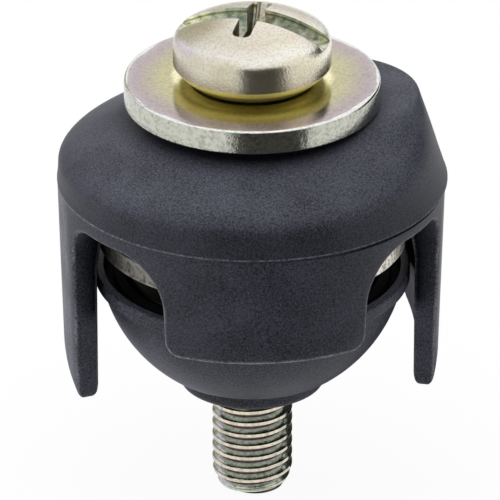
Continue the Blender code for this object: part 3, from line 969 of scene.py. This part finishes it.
def half_wall(edge_drop, turn):
    """Half of the cap's wall as an open shell, turned to the front or to the back."""
    bm = flat_comb(edge_drop)
    mark_wear_and_highlight(bm)
    slope = (edge_drop - middle_drop) / (FLAP_WIDTH / 2)
    lean = math.sqrt(1.0 + slope ** 2)
    slice_comb(bm, slope, lean)
    wear_and_highlight = bm.verts.layers.float["edge_wear_and_highlight"]
    painted_inner_shade = bm.verts.layers.float.new("painted_inner_shade")
    for vert in bm.verts:
        across, up, depth = vert.co
        angle = across / wall_radius
        on_flap = abs(across) > flap_start
        inset = (up + middle_drop - slope * (abs(across) - quarter)) / lean
        if on_flap and inset < END_ROUND:
            share = 1.0 - max(0.0, inset) / END_ROUND
            depth = CAP_THICK / 2 + (depth - CAP_THICK / 2) * (0.1 + 0.9 * math.sqrt(1.0 - share ** 2))

        # The wall steps back under the seam band, most of all on the right
        right_side = swell(angle - math.pi / 2 + turn, -0.3, 6.0)
        recess = 0.02 * MM + 0.12 * MM * right_side
        if -GROOVE_FOOT < up < -SEAM_BAND:
            recess += 0.3 * MM * right_side
        # The parting line above the band gets a painted highlight, and the flaps' outer faces get wear with
        # painted highlights
        if up > -SEAM_BAND:
            recess = 0.0
            vert[wear_and_highlight] = max(vert[wear_and_highlight], 0.32 * (1.0 - right_side))
        elif abs(across) > flap_edge + 0.6 * MM and depth > CAP_THICK * 0.7:
            vert[wear_and_highlight] = max(vert[wear_and_highlight], 0.2 + 0.22 * right_side)

        # Each flap is thicker at its root, and its inner side gets a painted shade that darkens it and takes
        # its sheen away
        inside = 1.0 - depth / CAP_THICK
        vert[painted_inner_shade] = min(1.0, 1.2 * inside) * clamped((up + SHELTER_FOOT) / (1.0 * MM))
        root = 0.0
        if on_flap:
            root = 0.26 * MM * min(clamped((up + ROOT_FOOT) / (1.6 * MM)), -up / (1.0 * MM))
        radius = wall_radius - CAP_THICK + depth + (up * DRAFT - recess) * depth / CAP_THICK - root * inside
        vert.co = (radius * math.sin(angle), -radius * math.cos(angle), up)
    turn_round(bm, turn)
    return bm


# %% [markdown]
# ## The cap's dome
# The dome is a low cone that rises from a rounded shoulder to the washer's seat. On the right it is
# fuller and steeper. A nominal section is spun with the same columns as the wall, and each column is then
# moved to the section of its own direction, so both meshes meet point by point at the mould seam.

# %% The section of the dome in one direction
BOSS_DROP = 2.72 * MM
BOSS_RADIUS = 4.75 * MM
BOSS_CHAMFER = 0.1 * MM
SEAT_EDGE = 6.15 * MM
ceiling = DOME_HEIGHT - 1.9 * MM


def dome_section(angle):
    """Points from the seam over the dome, down the bore, round the boss and back to the seam inside."""
    side = swell(angle, math.radians(13.0), 4.8)
    front = swell(angle, math.radians(-105.0), 3.0)
    seam = Vector((wall_radius, 0.0))
    shoulder = Vector((
        wall_radius - 0.14 * MM - 1.32 * MM * side,
        1.6 * MM + 0.8 * MM * front + 2.85 * MM * side,
    ))
    plateau = Vector((SEAT_EDGE + 4.33 * MM * side, DOME_HEIGHT))
    shoulder_start = shoulder.lerp(seam, 0.35)
    shoulder_end = shoulder.lerp(plateau, 0.35)
    plateau_start = plateau.lerp(shoulder, 0.35)
    flat = min(plateau.x - HOLE_RADIUS, (plateau - plateau_start).length)
    plateau_end = plateau - Vector((flat * 0.96, 0.0))
    inset = Vector((0.02 * MM, 0.0))
    points = [seam, seam.lerp(shoulder_start, 0.05) - inset, seam.lerp(shoulder_start, 0.5) - inset]
    points += soft_corner(shoulder_start, shoulder, shoulder_end, 12)
    points += [shoulder_end.lerp(plateau_start, 0.33), shoulder_end.lerp(plateau_start, 0.67)]
    points += soft_corner(plateau_start, plateau, plateau_end, 8)
    arch = Vector((shoulder.x - 1.7 * MM, min(shoulder.y - 1.2 * MM, ceiling - 0.35 * MM)))
    arch.x = min(arch.x, wall_radius - CAP_THICK)
    crown = min(plateau.x - 0.6 * MM, arch.x - 1.0 * MM)
    points += [
        Vector((HOLE_RADIUS, DOME_HEIGHT)),
        Vector((HOLE_RADIUS, -BOSS_DROP)),
        Vector((BOSS_RADIUS - BOSS_CHAMFER, -BOSS_DROP)),
        Vector((BOSS_RADIUS, -BOSS_DROP + BOSS_CHAMFER)),
        Vector((BOSS_RADIUS, ceiling)),
        Vector((crown, ceiling)),
        arch,
        Vector((wall_radius - CAP_THICK, 0.0)),
    ]
    return points


# %% Spin the nominal section, then move each column to its own section
SHELTERED_POINTS = 6


def make_dome():
    """The dome with its boss, open only at the seam between the outer and the inner wall."""
    bm = bmesh.new()
    nominal = dome_section(math.pi)
    spin_round(bm, profile_chain(bm, nominal), CAP_STEPS)
    wear_and_highlight = bm.verts.layers.float.new("edge_wear_and_highlight")
    painted_inner_shade = bm.verts.layers.float.new("painted_inner_shade")
    for vert in bm.verts:
        across = math.hypot(vert.co.x, vert.co.y)
        index = min(
            range(len(nominal)),
            key=lambda place: abs(nominal[place].x - across) + abs(nominal[place].y - vert.co.z),
        )
        angle = math.atan2(vert.co.y, vert.co.x)
        point = dome_section(angle)[index]
        vert.co = (point.x * math.cos(angle), point.x * math.sin(angle), point.y)
        # The seam line gets a painted highlight
        if index == 0:
            vert[wear_and_highlight] = 0.32
        # The boss and the ceiling inside the dome get a painted shade
        if index >= len(nominal) - SHELTERED_POINTS:
            vert[painted_inner_shade] = 1.0
    return bm


# %% Join the dome and both halves of the wall
cap = make_dome()
for edge_drop, turn in ((flap_drop, 0.0), (2 * middle_drop - flap_drop, math.pi)):
    half = half_wall(edge_drop, turn)
    print("half wall faces:", len(half.faces))
    join_mesh(cap, half)
bmesh.ops.remove_doubles(cap, verts=cap.verts, dist=4 * TOUCH)
bmesh.ops.recalc_face_normals(cap, faces=cap.faces)
bmesh.ops.translate(cap, vec=(0, 0, seam_level), verts=cap.verts)
print("cap faces:", len(cap.faces), "open edges:", open_edges(cap))
add_piece("cap", cap, cap_plastic, "insulating_cap", 35.0)

# %% [markdown]
# ## Floor, background and lights
# The connector stands on the tip of its screw on a plain pale floor. The background is white because the
# camera and the mirrors see a white world, while the light that falls on the piece stays moderate. A
# large soft box above and a weaker one on the left shape it, and mirrors don't see them. Plated metal only
# looks like metal when it has something to mirror. So cards that only mirrors see stand round the piece:
# dark ones in front and on the right, lilac ones on the left, and grey ones behind and over the crown.

# %% The floor
FLOOR_SIZE = 0.6
FLOOR_GLOW = 0.93


def seen_by(tree, *kinds):
    """1 for rays of any of the kinds, from a Light Path node."""
    rays = add_node(tree, "LightPath").outputs
    seen = rays[kinds[0]]
    for kind in kinds[1:]:
        seen = calculate(tree, "MAXIMUM", seen, rays[kind])
    return seen


floor_bm = bmesh.new()
bmesh.ops.create_grid(floor_bm, x_segments=8, y_segments=8, size=FLOOR_SIZE)
bmesh.ops.translate(floor_bm, vec=(0, 0, floor_level), verts=floor_bm.verts)
floor = link_mesh("floor", floor_bm)
floor_finish = bpy.data.materials.new("floor_finish")
floor_finish.use_nodes = True
tree = floor_finish.node_tree
pale = tree.nodes["Principled BSDF"]
pale.inputs["Roughness"].default_value = 0.9
pale.inputs["Specular IOR Level"].default_value = 0.1
# Light that the floor sends back onto the piece is dimmer than what the camera sees
floor_tone = mixed(tree, seen_by(tree, "Is Diffuse Ray"), (0.93, 0.93, 0.93, 1), (0.5, 0.5, 0.5, 1))
tree.links.new(floor_tone, pale.inputs["Base Color"])
glow = add_node(tree, "Emission", {"Color": (1, 1, 1, 1)})
glow_share = calculate(tree, "MULTIPLY", seen_by(tree, "Is Camera Ray", "Is Glossy Ray"), FLOOR_GLOW)
floor_mix = add_node(tree, "MixShader", {
    "Fac": glow_share, 1: pale.outputs["BSDF"], 2: glow.outputs["Emission"]})
tree.links.new(floor_mix.outputs["Shader"], tree.nodes["Material Output"].inputs["Surface"])
floor.data.materials.append(floor_finish)

# %% The world
world = bpy.data.worlds.new("studio")
bpy.context.scene.world = world
world.use_nodes = True
tree = world.node_tree
tree.nodes.clear()
fill_light = add_node(tree, "Background", {"Color": (0.9, 0.95, 1.0, 1), "Strength": 0.2})
white = add_node(tree, "Background", {"Color": (1, 1, 1, 1), "Strength": 1.0})
pick = add_node(tree, "MixShader", {
    "Fac": seen_by(tree, "Is Camera Ray", "Is Glossy Ray", "Is Transmission Ray"),
    1: fill_light.outputs["Background"], 2: white.outputs["Background"]})
add_node(tree, "OutputWorld", {"Surface": pick.outputs["Shader"]})
print("floor and world ready")


# %% The soft boxes
def soft_box(name, place, aim, width, height, power, color=(1, 1, 1)):
    """A rectangular lamp that looks at a point and that mirrors don't show."""
    lamp = bpy.data.lights.new(name, "AREA")
    lamp.shape = "RECTANGLE"
    lamp.size = width
    lamp.size_y = height
    lamp.energy = power
    lamp.color = color
    holder = bpy.data.objects.new(name, lamp)
    holder.location = place
    holder.rotation_euler = (Vector(aim) - Vector(place)).to_track_quat("-Z", "Y").to_euler()
    holder.visible_glossy = False
    bpy.context.scene.collection.objects.link(holder)


MIDDLE = (0.0, 0.0, 0.012)
soft_box("top_box", (-0.03, 0.0, 0.42), (-0.03, 0.0, 0.0), 0.8, 0.8, 3.2)
soft_box("left_box", (-0.40, 0.12, 0.12), MIDDLE, 0.25, 0.4, 0.8, (0.93, 0.95, 1.0))


# %% Helpers for the cards
def add_card(name, bm, color):
    """Store a mesh as a card that only mirrors can see."""
    card = link_mesh(name, bm)
    finish = bpy.data.materials.new(name + "_finish")
    finish.use_nodes = True
    tree = finish.node_tree
    tree.nodes.remove(tree.nodes["Principled BSDF"])
    glow = add_node(tree, "Emission", {"Color": (*color, 1.0)})
    tree.links.new(glow.outputs["Emission"], tree.nodes["Material Output"].inputs["Surface"])
    card.data.materials.append(finish)
    card.visible_camera = False
    card.visible_diffuse = False
    card.visible_shadow = False


def round_card(name, low, high, start, end, color):
    """A card swept round the axis between two (radius, height over the floor) points and two directions."""
    bm = bmesh.new()
    turn = math.radians(start) - math.pi / 2
    ends = [
        bm.verts.new((reach * math.cos(turn), reach * math.sin(turn), floor_level + up))
        for reach, up in (low, high)
    ]
    spin_round(bm, [*ends, bm.edges.new(ends)], 24, angle=math.radians(end - start), merge=False)
    add_card(name, bm, color)


def upright_card(name, place, width, height, color):
    """A rectangular card that faces the connector."""
    bm = bmesh.new()
    bmesh.ops.create_grid(bm, x_segments=1, y_segments=1, size=0.5)
    bmesh.ops.scale(bm, vec=(width, height, 1), verts=bm.verts)
    facing = (Vector(MIDDLE) - Vector(place)).to_track_quat("Z", "Y")
    bmesh.ops.rotate(bm, cent=(0, 0, 0), matrix=facing.to_matrix(), verts=bm.verts)
    bmesh.ops.translate(bm, vec=place, verts=bm.verts)
    add_card(name, bm, color)


# %% Place the cards
# Each round card's directions are degrees from the front, counted anticlockwise from above
LIFT = 0.3 * MM
NEAR, FAR, WIDE = 3 * MM, 25 * MM, 280 * MM
BLACK = (0.006, 0.006, 0.006)
DARK = (0.065, 0.063, 0.06)
DIM = (0.04, 0.04, 0.04)
GREY = (0.5, 0.5, 0.48)
OLIVE = (0.5, 0.47, 0.33)
LILAC = (0.88, 0.85, 1.0)
round_card("front_shade", (FAR, LIFT), (110 * MM, LIFT), -21.5, 43.0, DARK)
round_card("front_screen", (110 * MM, LIFT), (80 * MM, 78 * MM), -21.5, 43.0, DARK)
round_card("right_shade", (NEAR, LIFT), (FAR, LIFT), 98.0, 184.0, BLACK)
round_card("right_screen", (WIDE, 40 * MM), (WIDE, 220 * MM), 98.0, 146.0, DIM)
round_card("left_shade", (NEAR, LIFT), (FAR, LIFT), -184.0, -105.0, LILAC)
round_card("left_screen", (WIDE, LIFT), (WIDE, 250 * MM), -148.0, -105.0, LILAC)
round_card("back_screen", (320 * MM, LIFT), (320 * MM, 72 * MM), 120.0, 240.0, GREY)
upright_card("crown_shade", (-0.11, 0.27, 0.125), 0.14, 0.20, OLIVE)

# %% [markdown]
# ## Camera
# The picture was taken with a long lens from a little above. The camera stands 450 mm away, 26 degrees up
# and 4.65 degrees round to the left, and aims a little under the middle so that the piece fills the frame.

# %% Place the camera
ELEVATION = math.radians(25.93)
AZIMUTH = math.radians(-4.65)
DISTANCE = 0.45
AIM = (-0.00014, 0.0, 0.00891)
direction = Vector((
    math.sin(AZIMUTH) * math.cos(ELEVATION),
    -math.cos(AZIMUTH) * math.cos(ELEVATION),
    math.sin(ELEVATION),
))
camera_data = bpy.data.cameras.new("camera")
camera_data.sensor_width = 36.0
camera_data.lens = 526.4
camera_data.clip_start = 0.01
camera = bpy.data.objects.new("camera", camera_data)
camera.location = Vector(MIDDLE) + direction * DISTANCE
camera.rotation_euler = (Vector(AIM) - camera.location).to_track_quat("-Z", "Y").to_euler()
bpy.context.scene.collection.objects.link(camera)
bpy.context.scene.camera = camera
bpy.context.scene.view_settings.view_transform = "Standard"
